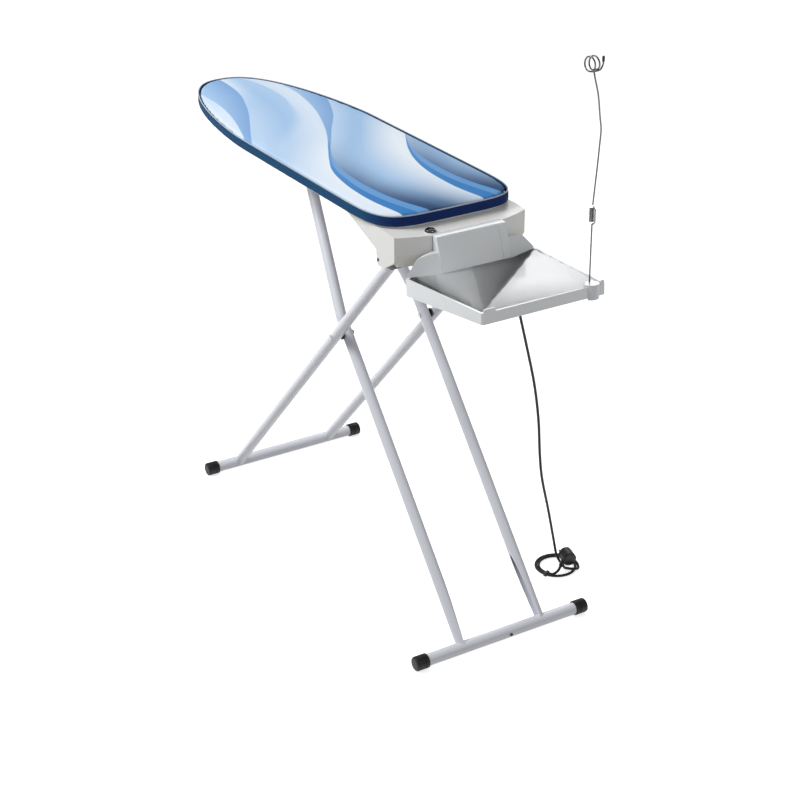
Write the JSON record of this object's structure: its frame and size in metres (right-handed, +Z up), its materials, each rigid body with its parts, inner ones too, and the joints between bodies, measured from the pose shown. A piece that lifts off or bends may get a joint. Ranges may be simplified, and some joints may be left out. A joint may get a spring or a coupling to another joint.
{
  "type": "ironing board",
  "caption": "Air-assisted ironing board on a crossed tubular stand, with a padded patterned cover, a fan housing, a lift-off iron tray, a sprung cord holder and a mains lead.",
  "frame": {"origin": "on the floor under the middle of the bounding box, without the mains lead", "axes": "+X from the nose to the tray end, +Y away from the side the cord holder's user stands at, +Z up"},
  "size_m": [1.5663, 0.6104, 1.4469],
  "materials": {
    "shell": "fine satin moulding",
    "plate": "perforated sheet steel",
    "pad": "pressed felt and foam",
    "cover": "woven cotton with a flowing blue pattern",
    "band": "plain navy band",
    "piping": "grey piping",
    "housing": "satin moulding",
    "pan": "warm white moulding",
    "black_plastic": "black moulding",
    "knob": "glossy black with a bright rim",
    "zinc": "zinc plated",
    "circuit": "green circuit board",
    "motor": "dark motor case",
    "leg_paint": "pale powder coat",
    "foot": "black rubber",
    "tray": "glossy pale grey moulding",
    "clip": "glossy grey moulding",
    "wire": "dark steel wire",
    "lead": "black flexible lead",
    "pins": "plated pins"
  },
  "bodies": {
    "board": {"board_shell": "shell", "perforated_plate": "plate", "foam_pad": "pad", "cover_top": "cover", "cover_band": "band", "cover_piping": "piping", "housing_upper": "housing", "housing_pan": "pan", "housing_screws": "zinc", "flange_screws": "black_plastic", "knob_seat": "black_plastic", "fan_motor": "motor", "fan_scroll": "black_plastic", "control_board": "circuit", "cable_gland": "black_plastic", "tray_hanger": "housing", "pivot_brackets": "zinc", "pivot_bolts": "zinc", "guide_rails": "zinc", "rail_screws": "zinc", "lever_bracket": "zinc", "lever_pin": "zinc", "lever_spring": "wire", "power_cord": "lead", "plug_body": "black_plastic", "plug_pins": "pins", "cord_tie": "black_plastic"},
    "knob": {"knob": "knob"},
    "fan": {"impeller": "black_plastic"},
    "lever": {"release_lever": "black_plastic"},
    "outer_legs": {"outer_tubes": "leg_paint", "outer_bar": "leg_paint", "outer_caps": "foot", "outer_bushings": "black_plastic", "cross_rivets": "zinc"},
    "inner_legs": {"inner_tubes": "leg_paint", "inner_bar": "leg_paint", "inner_caps": "foot", "slide_axles": "zinc", "inner_rollers": "shell", "inner_plugs": "black_plastic", "cross_spacers": "black_plastic", "bar_plug": "black_plastic"},
    "tray": {"tray_dish": "tray", "tray_neck": "tray", "tray_screws": "zinc", "holder_clip": "clip"},
    "lower_rod": {"lower_wire": "wire", "flex_spring": "wire"},
    "upper_rod": {"upper_wire": "wire", "wire_tip": "black_plastic"}
  },
  "joints": [
    {"name": "fold", "type": "hinge", "parent": "board", "child": "outer_legs", "pos_m": [0.39224, 0, 0.929], "axis": [0, 1, 0], "range_deg": [0, 43.5]},
    {"name": "cross", "type": "hinge", "parent": "outer_legs", "child": "inner_legs", "pos_m": [0.10846, 0, 0.63308], "axis": [0, 1, 0], "range_deg": [-87, 0]},
    {"name": "tray_lift", "type": "slide", "parent": "board", "child": "tray", "axis": [0, 0, 1], "range_m": [0, 0.14]},
    {"name": "holder_swivel", "type": "hinge", "parent": "tray", "child": "lower_rod", "pos_m": [0.75828, 0.127, 0.94195], "axis": [0, 0, 1], "continuous": true},
    {"name": "holder_flex", "type": "hinge", "parent": "lower_rod", "child": "upper_rod", "pos_m": [0.75828, 0.127, 1.12215], "axis": [0, 1, 0], "range_deg": [-25, 25], "stiffness_Nm_per_rad": 1.2},
    {"name": "knob_turn", "type": "hinge", "parent": "board", "child": "knob", "pos_m": [0.44974, -0.085, 1.0045], "axis": [0, 0, 1], "range_deg": [-240, 0]},
    {"name": "fan_spin", "type": "hinge", "parent": "board", "child": "fan", "pos_m": [0.30224, 0, 0.966], "axis": [0, 0, 1], "continuous": true},
    {"name": "release", "type": "hinge", "parent": "board", "child": "lever", "pos_m": [-0.06944, 0.077, 0.99], "axis": [1, 0, 0], "range_deg": [0, 8], "stiffness_Nm_per_rad": 0.3, "springref_deg": -20.05}
  ],
  "couplings": [
    {"joint": "cross", "follows": "fold", "ratio": -2}
  ]
}
